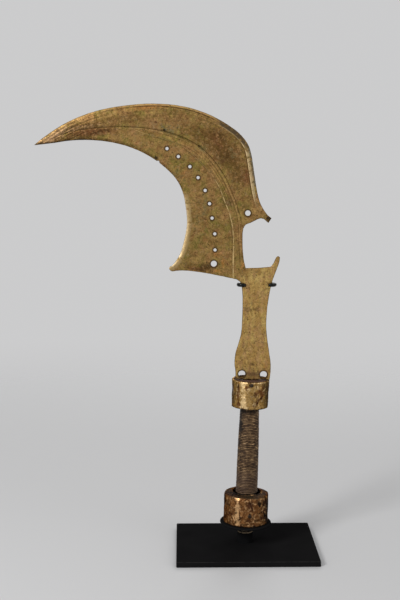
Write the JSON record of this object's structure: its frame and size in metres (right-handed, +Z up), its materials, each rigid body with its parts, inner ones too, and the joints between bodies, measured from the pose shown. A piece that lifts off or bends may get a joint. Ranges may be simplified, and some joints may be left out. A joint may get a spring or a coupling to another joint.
{
  "type": "sickle knife",
  "caption": "Sickle knife with a pierced brass crescent blade and a wire-bound handle between a sheathed collar and pommel, held upright by a steel display stand.",
  "frame": {"origin": "centre of the base plate's underside", "axes": "+X across the blade towards its outer edge, +Y away from the viewer along the blade's thickness, +Z up"},
  "size_m": [0.2563, 0.105, 0.4118],
  "materials": {
    "blade_brass": "aged and worn, with brown patina",
    "collar_brass": "hammered and polished by wear",
    "pommel_copper": "reddish and worn, with dark patina",
    "tack_iron": "dark and dull",
    "handle_wood": "dark, bare and dry",
    "grip_wire": "dark brown-grey patina with bare ridges",
    "stand_paint": "satin black",
    "screw_steel": "plain",
    "prong_sleeve": "glossy black"
  },
  "bodies": {
    "stand": {"base_plate": "stand_paint", "stem": "stand_paint", "stem_screw": "screw_steel", "support_disc": "stand_paint", "back_rod": "stand_paint", "prong_yoke": "stand_paint", "left_prong_sleeve": "prong_sleeve", "right_prong_sleeve": "prong_sleeve"},
    "knife": {"blade": "blade_brass", "collar_core": "handle_wood", "collar_sleeve": "collar_brass", "collar_tacks": "tack_iron", "grip_core": "handle_wood", "grip_winding": "grip_wire", "pommel_core": "handle_wood", "pommel_cap": "pommel_copper", "pommel_sleeve": "pommel_copper", "pommel_base": "pommel_copper", "pommel_tacks": "tack_iron"}
  },
  "joints": [
    {"name": "knife_lift", "type": "slide", "parent": "stand", "child": "knife", "axis": [0.0297, 0, 0.9996], "range_m": [0, 0.045]}
  ]
}
